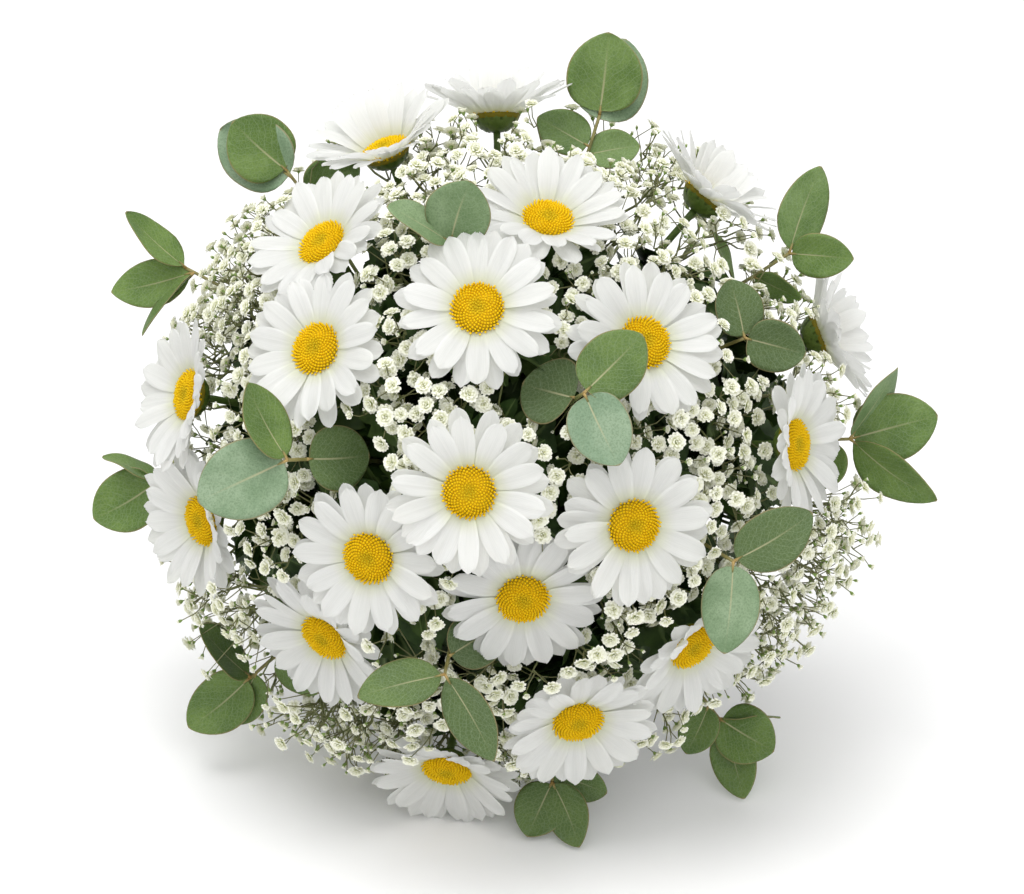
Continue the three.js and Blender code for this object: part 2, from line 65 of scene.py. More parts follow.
# Each sprig's shoots: the bearing, lean and height over the dome of the shoot's tip, then each
# leaf's bearing, rise, roll, length and width, and how far back from the tip it grows.
SPRIG_PLAN = [
    [
        (
            (16, 87, 4),
            [
                (6, 10, 0, 37, 34, 0), (19, -10, 10, 41, 34, 2),
                (300, -5, 15, 27, 21, 16), (80, -5, -10, 24, 18, 18),
            ],
        ),
        ((345, 34.5, 5), [(20, 34, 0, 31, 28, 0), (299, 22, 50, 32, 20, 1)]),
    ],
    [
        ((321.5, 88, 7), [(312, 12, 5, 33, 31, 0), (304, -8, -10, 40, 32, 2), (66, -5, 20, 28, 22, 10)]),
        ((299, 90, 14), [(313, 12, 50, 37, 20, 0), (257, -8, 8, 39, 22, 2), (217, 22, 75, 39, 18, 3)]),
    ],
    [
        ((266, 34, 12), [(245, 8, 0, 41, 33, 0), (333, 15, 45, 37, 24, 0), (86, -30, 0, 30, 28, 14)]),
        ((264, 93, 8), [(240, -5, 5, 34, 28, 0), (294, -8, 70, 28, 18, 1)]),
    ],
    [
        (
            (227.6, 93, 6),
            [
                (231, 0, 5, 36, 26, 0), (318, 32, 55, 38, 22, 1),
                (205, -14, 10, 27, 22, 3), (130, 8, 45, 26, 20, 13),
            ],
        ),
        ((194.6, 40, 5), [(256, 10, 25, 38, 22, 0), (150, 8, 25, 42, 22, 0), (60, -25, 0, 28, 24, 13)]),
    ],
    [
        ((57, 14, 11), [(45, 6, 0, 34, 27, 0), (154, 6, 0, 33, 26, 0), (285, -28, 20, 26, 31, 13)]),
    ],
    [
        (
            (56, 81, 4),
            [
                (20, 0, 25, 41, 24, 0), (96, 22, 8, 30, 20, 0),
                (335, 25, 70, 30, 14, 30), (116, 14, 40, 24, 14, 18),
            ],
        ),
        ((66, 55, -12), [(105, 0, 10, 27, 23, 0), (345, 0, 15, 26, 22, 0)]),
    ],
    [
        (
            (89, 93, 6),
            [
                (75, 0, 5, 41, 31, 0), (33, 12, 60, 39, 22, 0),
                (125, 2, 40, 48, 24, 1), (196, -14, 15, 24, 20, 7),
            ],
        ),
        ((117, 44, 6), [(58, 4, 0, 39, 25, 0), (186, 4, 0, 39, 25, 0)]),
    ],
    [
        (
            (142, 90, 10),
            [
                (120, 16, 0, 29, 27, 2), (165, 5, 15, 34, 21, 0),
                (89, -8, 80, 28, 16, 3), (205, -2, 10, 24, 18, 12),
            ],
        ),
        ((172, 80, 3), [(205, 14, 10, 27, 23, 0), (157, 24, 15, 33, 20, 0), (110, -2, 15, 26, 18, 3)]),
    ],
]
# The bearing and lean of each spray's middle.
SPRAY_PLAN = [
    (345, 56), (27, 62), (301, 68), (250, 20), (270, 52), (238, 78),
    (88, 33), (77, 62), (112, 70), (206, 76), (152, 42),
]

# ---------------------------------------------------------------- what only the looks need

DISC_FLORETS = 270
GOLDEN_ANGLE = 2.399963
SCATTER_STEPS = (0.7548777, 0.5698403)  # what spreads points evenly over a surface
FOLIAGE_TRIES = 1700
FLORET_TRIES = 12500
FLORET_SPACING = 6.8 * MM
LACY_BEARINGS = (108, 224)  # where the baby's breath stands out loosely from the rim
CAMERA_DISTANCE = 1.8
CAMERA_LENS = 141


# ---------------------------------------------------------------- reading the CAD nodes

def node_mesh(name):
    """A CAD node's vertices, and each vertex's neighbours, with doubled vertices merged."""
    bm = bmesh.new()
    bm.from_mesh(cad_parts[name].data)
    bmesh.ops.remove_doubles(bm, verts=bm.verts, dist=2e-6)
    bm.verts.index_update()
    points = np.array([v.co for v in bm.verts])
    near = [[e.other_vert(v).index for e in v.link_edges] for v in bm.verts]
    bm.free()
    return points, near


def flattest_direction(points):
    """The middle of points, and the direction in which they reach least."""
    middle = points.mean(0)
    return middle, np.linalg.svd(points - middle, full_matrices=False)[2][2]


def unit(v):
    return v / np.linalg.norm(v)


def numbered(name, index):
    return f"{name}_{index:02d}"


HEADS = [numbered("daisy", i) + "_head" for i in range(1, DAISIES + 1)]
heads_middle = np.mean([np.add(*map(np.array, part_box(name))) / 2 for name in HEADS], axis=0)
waist, AXIS = flattest_direction(node_mesh("twine_binding")[0])
if np.dot(AXIS, heads_middle - waist) < 0:
    AXIS = -AXIS
# The bunch's own directions: across to the right, up its face, and out along its axis.
RIGHT = unit(np.array([1.0, 0, 0]) - AXIS[0] * AXIS)
UP = np.cross(AXIS, RIGHT)
TO_WORLD = np.array([RIGHT, UP, AXIS])
DOME = waist + AXIS * WAIST_BELOW_DOME


def heading(bearing, lean):
    """The direction at a bearing and a lean, as in the CAD's planting plan."""
    b, l = math.radians(bearing), math.radians(lean)
    return np.array([math.sin(l) * math.sin(b), math.sin(l) * math.cos(b), math.cos(l)]) @ TO_WORLD


def on_dome(bearing, lean, height):
    """A place over the dome, at a height in millimetres."""
    return DOME + heading(bearing, lean) * (DOME_RADIUS + height * MM)


def scattered(k, span):
    """The k-th of a set of evenly scattered directions, and its share along the axis."""
    z = 1 - span * (k * SCATTER_STEPS[0] % 1)
    a = 2 * math.pi * k * SCATTER_STEPS[1]
    flat = math.sqrt(1 - z * z)
    return np.array([flat * math.cos(a), flat * math.sin(a), z]) @ TO_WORLD, z


class Head:
    """Where a flower head is, how it faces and how far its tips cup up."""

    def __init__(self, name):
        points, _ = node_mesh(name)
        middle, normal = flattest_direction(points)
        if np.dot(normal, middle - DOME) < 0:
            normal = -normal
        heights = (points - middle) @ normal
        self.normal = normal
        self.centre = middle + normal * (heights.min() + DISC_SEAT)
        offsets = points - self.centre
        across = np.linalg.norm(offsets - np.outer(offsets @ normal, normal), axis=1)
        tips = across > across.max() * 0.97
        self.cup = float((offsets[tips] @ normal).mean()) - 0.55 * MM
        self.lean = math.degrees(math.acos(np.clip(np.dot(normal, AXIS), -1, 1)))
        inward = AXIS - normal * np.dot(AXIS, normal)
        self.inward = unit(inward) if np.linalg.norm(inward) > 1e-3 else unit(UP)
        self.side = np.cross(normal, self.inward)

    def place(self, local):
        """Points given as towards the bunch's axis, to the side, and out of the face."""
        return self.centre + local @ np.array([self.inward, self.side, self.normal])


heads = [Head(name) for name in HEADS]


def stem_line(name, sides):
    """The middle line of a CAD stem from its cut end, as far as it is a plain tube."""
    points, near = node_mesh(name)
    along = (points - DOME) @ AXIS
    ring = set(np.argsort(along)[:sides].tolist())
    seen, line = set(ring), []
    while len(ring) == sides:
        line.append(points[list(ring)].mean(0))
        ring = {n for v in ring for n in near[v]} - seen
        seen |= ring
    return line


# ---------------------------------------------------------------- meshes

class Skin:
    """The vertices and faces of one piece while it is being made."""

    def __init__(self):
        self.points, self.uv, self.tint, self.faces = [], [], [], []
        self.count = 0

    def add(self, points, faces, uv=None, tint=0.0):
        """tint is a number for each vertex, or one for all, that the material reads."""
        n = len(points)
        self.points.append(np.asarray(points, float))
        self.uv.append(np.zeros((n, 2)) if uv is None else np.asarray(uv, float))
        self.tint.append(np.broadcast_to(np.asarray(tint, float), (n,)))
        self.faces.extend([tuple(i + self.count for i in face) for face in faces])
        self.count += n

    def build(self, name, material, slot, nodes, smooth=True, thickness=0.0):
        points = np.concatenate(self.points)
        points[:, 2] = np.maximum(points[:, 2], FLOOR_CLEAR)
        mesh = bpy.data.meshes.new(name)
        mesh.from_pydata(points.tolist(), [], self.faces)
        uv = np.concatenate(self.uv)
        corners = np.empty(len(mesh.loops), np.int32)
        mesh.loops.foreach_get("vertex_index", corners)
        mesh.uv_layers.new(name="Surface").data.foreach_set("uv", uv[corners].ravel())
        tint = mesh.attributes.new("tint", "FLOAT", "POINT")
        tint.data.foreach_set("value", np.concatenate(self.tint).astype(np.float32))
        mesh.polygons.foreach_set("use_smooth", [smooth] * len(mesh.polygons))
        mesh.materials.append(material)
        mesh.update()
        obj = bpy.data.objects.new(name, mesh)
        scene.collection.objects.link(obj)
        if thickness:
            solid = obj.modifiers.new("thickness", "SOLIDIFY")
            solid.thickness = thickness
            solid.offset = 0
        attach(obj, "root")
        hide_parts(*nodes)
        return obj


def grid_faces(rows, columns, closed=False):
    faces = []
    for i in range(rows - 1):
        for j in range(columns if closed else columns - 1):
            k = (j + 1) % columns
            faces.append((i * columns + j, i * columns + k, (i + 1) * columns + k, (i + 1) * columns + j))
    return faces


def smooth_line(points, spacing):
    """A curve through points, as points about one spacing apart, and its directions."""
    points = np.asarray(points, float)
    if len(points) == 2:
        points = np.array([points[0], (points[0] + points[1]) / 2, points[1]])
    ends = np.vstack([2 * points[0] - points[1], points, 2 * points[-1] - points[-2]])
    out = []
    for a, b, c, d in zip(ends, ends[1:], ends[2:], ends[3:]):
        steps = max(1, round(float(np.linalg.norm(c - b)) / spacing))
        t = (np.arange(steps) / steps)[:, None]
        out.append(
            0.5 * (2 * b + (c - a) * t + (2 * a - 5 * b + 4 * c - d) * t**2 + (3 * b - a - 3 * c + d) * t**3)
        )
    line = np.vstack(out + [points[-1:]])
    return line, unit_rows(np.gradient(line, axis=0))


def unit_rows(v):
    return v / np.maximum(np.linalg.norm(v, axis=1, keepdims=True), 1e-12)


def tube(skin, points, radius, sides=8, spacing=4 * MM, ridge=0.0, tint=0.0, caps=True):
    """A tube along points. radius and tint are one number or a start and an end."""
    line, ways = smooth_line(points, spacing)
    n = len(line)
    radii = np.interp(np.linspace(0, 1, n), np.linspace(0, 1, np.size(radius)), np.ravel(radius))
    tints = np.interp(np.linspace(0, 1, n), np.linspace(0, 1, np.size(tint)), np.ravel(tint))
    first = np.cross(ways[0], [0.31, 0.52, 0.79])
    across = unit(first)
    rings = []
    angles = np.arange(sides) / sides * 2 * math.pi
    profile = 1 + ridge * np.cos(angles * sides / 2)
    for p, w, r in zip(line, ways, radii):
        across = unit(across - w * np.dot(across, w))
        other = np.cross(w, across)
        circle = np.outer(np.cos(angles), across) + np.outer(np.sin(angles), other)
        rings.append(p + circle * (r * profile)[:, None])
    travelled = np.concatenate([[0], np.cumsum(np.linalg.norm(np.diff(line, axis=0), axis=1))])
    uv = np.stack([np.tile(angles / (2 * math.pi), n), np.repeat(travelled, sides) / MM / 10], axis=1)
    faces = grid_faces(n, sides, closed=True)
    if caps:
        faces += [tuple(reversed(range(sides))), tuple(range((n - 1) * sides, n * sides))]
    skin.add(np.vstack(rings), faces, uv, np.repeat(tints, sides))
    return line


# ---------------------------------------------------------------- daisies

def ray_floret(rng, length, width, lift, curl):
    """One ray floret along +X from its inner end, facing +Z, with its UV."""
    rows, columns = 13, 9
    s = 1 - (1 - np.linspace(0, 1, rows)) ** 1.35
    u = np.linspace(-1, 1, columns)
    rise = lift + curl * (s - 0.35) + math.radians(rng.uniform(-4, 4)) * np.sin(math.pi * s)
    step = length * np.diff(s)
    x = np.concatenate([[0], np.cumsum(np.cos(rise[:-1]) * step)])
    z = np.concatenate([[0], np.cumsum(np.sin(rise[:-1]) * step)])
    half = width / 2 * np.interp(
        s, [0, 0.12, 0.3, 0.5, 0.64, 0.78, 0.88, 0.95, 1], [0.44, 0.62, 0.86, 1, 1.0, 0.94, 0.8, 0.6, 0.26]
    )
    S, U = np.meshgrid(s, u, indexing="ij")
    notch = rng.uniform(0, 0.7) * MM
    back = S**9 * (U**2 * 1.0 * MM + notch * (0.5 - 0.5 * np.cos(3 * math.pi * U)) * (1 - U**2))
    swing = rng.uniform(-0.8, 0.8) * MM * np.sin(math.pi * S * 0.5)
    depth = np.clip(S * 5, 0, 1)
    grooves = 0.2 * MM * depth * np.cos(3 * math.pi * U) - 0.45 * MM * depth * (1 - S**3) * (1 - U**2)
    ruffle = 0.35 * MM * S**3 * np.sin(U * 3 + rng.uniform(0, 6))
    roll = math.radians(rng.gauss(0, 7))
    X = x[:, None] - back * np.cos(rise)[:, None]
    Y = U * half[:, None] + swing
    Z = z[:, None] - back * np.sin(rise)[:, None] + grooves + ruffle + np.sin(roll) * Y * depth
    points = np.stack([X, Y * math.cos(roll), Z], axis=-1).reshape(-1, 3)
    uv = np.stack([(U + 1) / 2, S], axis=-1).reshape(-1, 2)
    return points, grid_faces(rows, columns), uv


def turned(points, angle):
    """Points turned about +Z."""
    c, s = math.cos(angle), math.sin(angle)
    x, y, z = points.T
    return np.stack([x * c - y * s, x * s + y * c, z], axis=1)


# By head, how far its ray florets on the side of the bunch's middle arch up over the disc (or lie
# lower, under 0), and how far those on the other side stand up, in degrees.
ARCHED = {9: 5, 10: 4, 11: 6, 12: 13, 13: 10, 14: 9, 15: 8, 16: 7, 17: -5, 18: 3, 19: -10, 20: -10}
STANDING = {14: 6, 15: 6, 16: 8, 17: 50, 18: 26, 19: 44, 20: 42}


def daisy_rays(head, number, rng):
    skin = Skin()
    span = HEAD_RADIUS - DISC_RADIUS * 0.8
    cup = math.asin(min(0.6, head.cup / span))
    arched, standing = math.radians(ARCHED.get(number, 0)), math.radians(STANDING.get(number, 0))
    for whorl, (count, reach, height, extra) in enumerate(
        [(16, 1.0, 0.0, 0.0), (14, 0.94, 0.9 * MM, math.radians(6))]
    ):
        for k in range(count):
            angle = (k + 0.5 * whorl + rng.uniform(-0.16, 0.16)) / count * 2 * math.pi
            near, far = max(0.0, math.cos(angle)) ** 1.5, max(0.0, -math.cos(angle)) ** 1.2
            lift = cup + extra + arched * 2 * near + standing * far + math.radians(rng.gauss(2, 3))
            curl = math.radians(rng.gauss(-14, 6)) - 0.35 * cup - max(arched, 0) * 3.4 * near
            length = span * reach * rng.uniform(0.97, 1.09) / math.cos(min(cup, 0.5)) ** 0.6
            points, faces, uv = ray_floret(rng, length, rng.uniform(8.6, 10.4) * MM, lift, curl)
            points = points + [DISC_RADIUS * 0.8, 0, 0.4 * MM + height]
            tint = rng.uniform(0, 1)
            skin.add(head.place(turned(points, angle)), faces, uv, tint)
    return skin


def disc_height(r):
    """How high the yellow disc is at a radius: a dome with a dimple in the middle."""
    share = np.clip(r / DISC_RADIUS, 0, 1)
    return 1.4 * MM + 3.6 * MM * (1 - share**2) ** 0.7 - 1.3 * MM * np.exp(-((r / (3.2 * MM)) ** 2))


def daisy_disc(head, rng):
    skin = Skin()
    rows, columns = 9, 24
    radii = np.linspace(0.02, 1, rows) * DISC_RADIUS
    angles = np.arange(columns) / columns * 2 * math.pi
    R, A = np.meshgrid(radii, angles, indexing="ij")
    base = np.stack([R * np.cos(A), R * np.sin(A), disc_height(R) - 0.5 * MM], axis=-1).reshape(-1, 3)
    skirt = base[-columns:] * [0.9, 0.9, 0] - [0, 0, DISC_SEAT]
    # The dome's tint falls towards its rim and the skirt's is -1, which the material turns near black:
    # painted shade between the outer florets and under the disc's edge.
    skin.add(
        head.place(np.vstack([base, skirt])),
        grid_faces(rows + 1, columns, closed=True) + [tuple(reversed(range(columns)))],
        tint=np.append(np.repeat(0.34 - 1.3 * (radii / DISC_RADIUS) ** 5, columns), -np.ones(columns)),
    )
    sides = 5
    ring = np.arange(sides) / sides * 2 * math.pi
    for k in range(DISC_FLORETS):
        share = math.sqrt((k + 0.5) / DISC_FLORETS)
        r, a = share * DISC_RADIUS * 0.99, k * GOLDEN_ANGLE
        size = (0.50 + 0.06 * share) * MM * rng.uniform(0.9, 1.1)
        tall = (0.75 + 0.5 * share) * MM * rng.uniform(0.85, 1.2)
        out = 0.3 + 0.5 * share**6
        point = []
        for width, up in [(1, -0.4), (0.95, 0.55), (0.5, 1)]:
            wobble = 1 if up < 1 else rng.uniform(0.6, 1.1)
            for t in ring + rng.uniform(0, 1):
                point.append(
                    (
                        r + size * width * wobble * math.cos(t) + out * tall * max(up, 0) * share,
                        size * width * wobble * math.sin(t),
                        disc_height(r) - 0.3 * MM + tall * up,
                    )
                )
        point.append((r + out * tall * share, 0, disc_height(r) - 0.3 * MM + tall * 0.85))
        faces = grid_faces(3, sides, closed=True)
        faces += [(2 * sides + j, 2 * sides + (j + 1) % sides, 3 * sides) for j in range(sides)]
        # Each floret is tinted darker at its foot than at its upper ring: painted shade between the florets.
        tint = [share * 0.8] * sides + [share] * sides + [share + 0.08] * sides + [share - 0.1]
        skin.add(head.place(turned(np.array(point), a)), faces, tint=np.clip(tint, 0, 1.1))
    return skin


def lobed_leaf(rng, length, width):
    """A lobed leaf along +X, facing +Z: the foliage on a daisy's stem."""
    rows, columns = 17, 7
    s, u = np.linspace(0, 1, rows), np.linspace(-1, 1, columns)
    S, U = np.meshgrid(s, u, indexing="ij")
    half = width / 2 * np.interp(s, [0, 0.15, 0.35, 0.65, 0.85, 1], [0.12, 0.3, 0.75, 1, 0.7, 0.08])
    half = half * (1 + 0.28 * np.cos(np.arange(rows) * math.pi * 0.5 + rng.uniform(-0.4, 0.4)))
    droop = rng.uniform(0.02, 0.3)
    fold = rng.uniform(0.1, 0.45)
    X = S * length + np.abs(U) * 3 * MM * S * (1 - S)
    Z = -length * droop * S**2 + fold * np.abs(U) * half[:, None]
    Z = Z + 0.8 * MM * np.sin(S * 11 + rng.uniform(0, 6)) * U
    Y = U * half[:, None] + rng.uniform(-3, 3) * MM * S**2
    uv = np.stack([(U + 1) / 2, S], axis=-1).reshape(-1, 2)
    return np.stack([X, Y, Z], axis=-1).reshape(-1, 3), grid_faces(rows, columns), uv


def foliage_plan(rng):
    """The leaves on the daisies' stems, which fill the dome under the flowers, by daisy."""
    stems = [stem_line(numbered("daisy", i) + "_stem", 6) for i in range(1, DAISIES + 1)]
    lines = [smooth_line(stem, 4 * MM)[0] for stem in stems]
    plan = [[] for _ in lines]
    for k in range(FOLIAGE_TRIES):
        way, z = scattered(k, 1.5)
        sunk = (rng.uniform(12, 26), rng.uniform(26, 60), rng.uniform(12, 30), rng.uniform(55, 95))[k % 4]
        tip = DOME + way * (DOME_RADIUS - sunk * MM)
        if tip[2] < 12 * MM or not clear_of_heads(tip, 1 * MM):
            continue
        # The upper rim is open, so only leaves deep in the bunch are there.
        if z < 0.5 and (TO_WORLD @ way)[1] > 0.55 and sunk < 55:
            continue
        best = None
        for i, line in enumerate(lines):
            gaps = np.linalg.norm(line - tip, axis=1)
            depths = DOME_RADIUS - np.linalg.norm(line - DOME, axis=1)
            score = np.abs(gaps - 40 * MM) + np.abs(depths - (sunk + 24) * MM) * 0.5
            score[gaps > 66 * MM] = 9
            j = int(np.argmin(score))
            if score[j] < 0.04 and (best is None or score[j] + len(plan[i]) * 0.4 * MM < best[0]):
                best = (score[j] + len(plan[i]) * 0.4 * MM, i, j)
        if best:
            plan[best[1]].append((lines[best[1]][best[2]], tip, rng.uniform(17, 27) * MM, rng.gauss(0, 0.5)))
    return plan


def oriented(points, base, along, normal):
    """Points made along +X and facing +Z, moved to a base, a direction and a facing."""
    normal = unit(normal - along * np.dot(along, normal))
    return base + points @ np.array([along, np.cross(normal, along), normal])


def clear_of_heads(point, margin):
    """True if a point is neither in a flower head nor over its face."""
    for head in heads:
        offset = point - head.centre
        height = float(np.dot(offset, head.normal))
        across = float(np.linalg.norm(offset - head.normal * height))
        surface = max(0.0, head.cup) * max(0.0, across - 9 * MM) / (25 * MM)
        if across < HEAD_RADIUS - 1 * MM + margin and height - surface > -margin - 3.5 * MM:
            return False
        if across < 12 * MM + margin and -18 * MM < height < 0:
            return False
        # A head that is seen from its side keeps its ray florets and its cup in view.
        if head.lean > 80 and in_front(point, head.centre + head.normal * 9 * MM, 13 * MM):
            return False
        if head.lean > 80 and in_front(point, head.centre - head.normal * 5 * MM, 8 * MM):
            return False
        if 60 < head.lean < 80 and in_front(point, head.centre + head.normal * 3 * MM, 16 * MM):
            return False
    return True


def calyx(skin, head, rng):
    """The green cup under a head, with its three rows of bracts."""
    profile = [(1.5, -6.6), (3.8, -6.0), (6.3, -4.6), (8.0, -2.8), (8.8, -1.1), (9.0, -0.2), (6.0, 0.2)]
    columns = 20
    angles = np.arange(columns) / columns * 2 * math.pi
    cup = np.array([(r * math.cos(a), r * math.sin(a), z) for r, z in profile for a in angles]) * MM
    skin.add(head.place(cup), grid_faces(len(profile), columns, closed=True), tint=0.5)
    for row, (count, r0, z0, r1, z1, width) in enumerate(
        [(11, 3.9, -6.1, 7.3, -3.6, 3.4), (13, 6.1, -4.9, 8.8, -2.1, 3.6), (15, 7.7, -3.3, 9.8, 0.1, 3.4)]
    ):
        for k in range(count):
            a = (k + 0.5 * row + rng.uniform(-0.1, 0.1)) / count * 2 * math.pi
            points, uv = [], []
            for s in np.linspace(0, 1, 6):
                r = r0 + (r1 - r0) * s**0.8 + 0.35
                z = z0 + (z1 - z0) * s
                half = width / 2 * (1 - s**2.6) ** 0.5 * (0.75 + 0.5 * s) + 0.08
                for u in (-1, 0, 1):
                    points.append((r + 0.25 * (1 - u * u), u * half, z - 0.3 * (1 - u * u)))
                    uv.append((u / 2 + 0.5, s))
            points = turned(np.array(points) * MM, a)
            skin.add(head.place(points), grid_faces(6, 3), uv, 0.6 + 0.2 * rng.random())


def daisy_green(head, name, foliage, rng):
    """The stem with its ridges and leaves, and the cup of bracts under the head."""
    skin = Skin()
    line = stem_line(name, 6)
    top = head.centre - head.normal * (DISC_SEAT + CALYX_HEIGHT)
    while len(line) > 2 and np.linalg.norm(line[-1] - top) < 12 * MM:
        line.pop()
    line += [head.centre - head.normal * (DISC_SEAT + CALYX_HEIGHT + 4 * MM), top + head.normal * 2 * MM]
    points = tube(skin, line, (1.7 * MM, 1.5 * MM, 1.35 * MM, 1.6 * MM), 10, 5 * MM, ridge=0.06, tint=0.35)
    for base, tip, width, twist in foliage:
        length = np.linalg.norm(tip - base)
        along = (tip - base) / length
        normal = unit(unit(tip - DOME) + np.cross(along, tip - DOME) / np.linalg.norm(tip - DOME) * twist)
        leaf, faces, uv = lobed_leaf(rng, length, width)
        # A low tint gives these leaves the material's dark green, deepened as painted shade inside the
        # bunch.
        skin.add(oriented(leaf, base, along, normal), faces, uv, rng.uniform(0.0, 0.3))
    calyx(skin, head, rng)
    return skin


# ---------------------------------------------------------------- eucalyptus

LEAF_OUTLINE = (
    [0, 0.04, 0.10, 0.18, 0.30, 0.42, 0.55, 0.68, 0.80, 0.90, 0.96, 1],
    [0.06, 0.30, 0.56, 0.77, 0.95, 1.0, 0.97, 0.85, 0.65, 0.40, 0.20, 0.02],
)


def eucalyptus_leaf(rng, length, width):
    """A rounded or pointed leaf along +X, facing +Z, with its UV."""
    rows, columns = 19, 11
    s = np.linspace(0, 1, rows)
    s = 0.5 - 0.5 * np.cos(math.pi * s) * (0.75 + 0.25 * np.cos(math.pi * s) ** 2)
    u = np.linspace(-1, 1, columns)
    half = width / 2 * np.interp(s, *LEAF_OUTLINE)
    roundness = min(1, max(0, (1.75 - length / width) / 0.45))
    ends = 2 * s**0.84 - 1
    oval = np.clip(1 - np.abs(ends) ** 2.2, 0, 1) ** np.where(ends < 0, 0.5, 0.7)
    half = half * (1 - roundness) + roundness * width / 2 * oval
    S, U = np.meshgrid(s, u, indexing="ij")
    bend = math.radians(rng.uniform(-16, 12))
    skew = rng.uniform(-0.03, 0.03) * length
    wave, phase = rng.uniform(0.25, 0.7) * MM, rng.uniform(0, 6.28)
    fold = math.tan(math.radians(rng.uniform(3, 12)))
    X = S * length
    Y = U * half[:, None] + skew * np.sin(math.pi * S)
    Z = (
        fold * np.abs(U) ** 1.3 * half[:, None]
        + length * math.tan(bend) * (S**2 - S) * -0.8
        + wave * np.abs(U) ** 2 * np.sin(S * 8 + phase + U)
        - 0.25 * MM * np.exp(-((U / 0.09) ** 2)) * (1 - S)
    )
    uv = np.stack([(U + 1) / 2, S], axis=-1).reshape(-1, 2)
    return np.stack([X, Y, Z], axis=-1).reshape(-1, 3), grid_faces(rows, columns), uv


def leaf_frame(bearing, rise, roll):
    """A leaf's direction and its facing."""
    b, r = math.radians(bearing), math.radians(rise)
    along = np.array([math.cos(r) * math.sin(b), math.cos(r) * math.cos(b), math.sin(r)]) @ TO_WORLD
    normal = unit(AXIS - along * np.dot(along, AXIS))
    normal = np.array(Matrix.Rotation(math.radians(roll), 3, Vector(along)) @ Vector(normal))
    return along, normal


def bezier(start, start_way, end, end_way, reach, steps=9):
    t = np.linspace(0, 1, steps)[:, None]
    a, b, c, d = start, start + start_way * reach, end - end_way * reach, end
    return (1 - t) ** 3 * a + 3 * (1 - t) ** 2 * t * b + 3 * (1 - t) * t**2 * c + t**3 * d


leaves = []  # base, along, normal, length and width, for what grows round them

# How blue-grey each sprig's leaves are: 0 for a plain green leaf, and under 0 for a darker green that is
# painted shade, for leaves that lie in shadow.
BLOOM_AND_SHADE = {
    1: [(0.1, 0.7, 0.2, 0.2), (0.5, 0.45)],
    2: [(0.05, 0.8, 0.2), (0.0, -0.1, -0.3)],
    3: [(0.75, -0.2, -0.6), (-0.1, 0.1)],
    4: [(-0.2, -0.3, -0.2, -0.3), (-0.5, -0.7, -0.8)],
    5: [(-0.35, 1.0, -0.8)],
    6: [(0.2, 0.1, 0.1, 0.1), (-0.7, -0.7)],
    7: [(0.1, 0.4, 0.0, 0.0), (-0.7, 0.65)],
    8: [(-0.2, -0.3, -0.3, -0.3), (-0.5, -0.5, -0.5)],
}


def eucalyptus(number, shoots, rng):
    """A sprig: its stem, then each shoot to its tip with its leaves."""
    name = numbered("eucalyptus_sprig", number)
    wood, blades = Skin(), Skin()
    trunk = stem_line(name, 6)
    start, way = trunk[-1], unit(trunk[-1] - trunk[-2])
    tube(wood, trunk, (1.5 * MM, 1.2 * MM), 8, 6 * MM, tint=(0.1, 0.4))
    for order, ((bearing, lean, height), rows) in enumerate(shoots):
        end = on_dome(bearing, lean, height)
        reach = np.linalg.norm(end - start) * 0.4
        path = bezier(start, way, end, heading(bearing, lean), reach)
        line = tube(wood, path, (1.2 * MM, 0.75 * MM), 7, 4 * MM, tint=(0.3, 0.35, 0.6))
        steps = np.linalg.norm(np.diff(line, axis=0), axis=1)
        left = np.append(np.cumsum(steps[::-1])[::-1], 0)
        for row, bloom_and_shade in zip(rows, BLOOM_AND_SHADE[number][order]):
            leaf_bearing, rise, roll, length, width, back = row
            along, normal = leaf_frame(leaf_bearing, rise, roll)
            base = line[int(np.argmin(np.abs(left - back * MM)))]
            size = (length * MM, width * MM)
            leaves.append((base, along, normal, *size))
            stalk = 0.12 * length * MM
            points, faces, uv = eucalyptus_leaf(rng, size[0] - stalk * 0.4, size[1])
            points = oriented(points + [stalk * 0.4, 0, 0], base, along, normal)
            # The leaf's tint is its blue-grey bloom, and under 0 painted shade.
            blades.add(points, faces, uv, bloom_and_shade)
            line_of_stalk = [base, base + along * stalk * 0.5, base + along * stalk]
            tube(wood, line_of_stalk, (0.8 * MM, 0.45 * MM), 6, 2 * MM, tint=(0.9, 0.5))
    blades.build(name + "_leaves", leaf_material, "eucalyptus_leaf", [name], thickness=0.35 * MM)
    wood.build(name + "_stem", shoot_material, "eucalyptus_stem", [name])


# ---------------------------------------------------------------- baby's breath

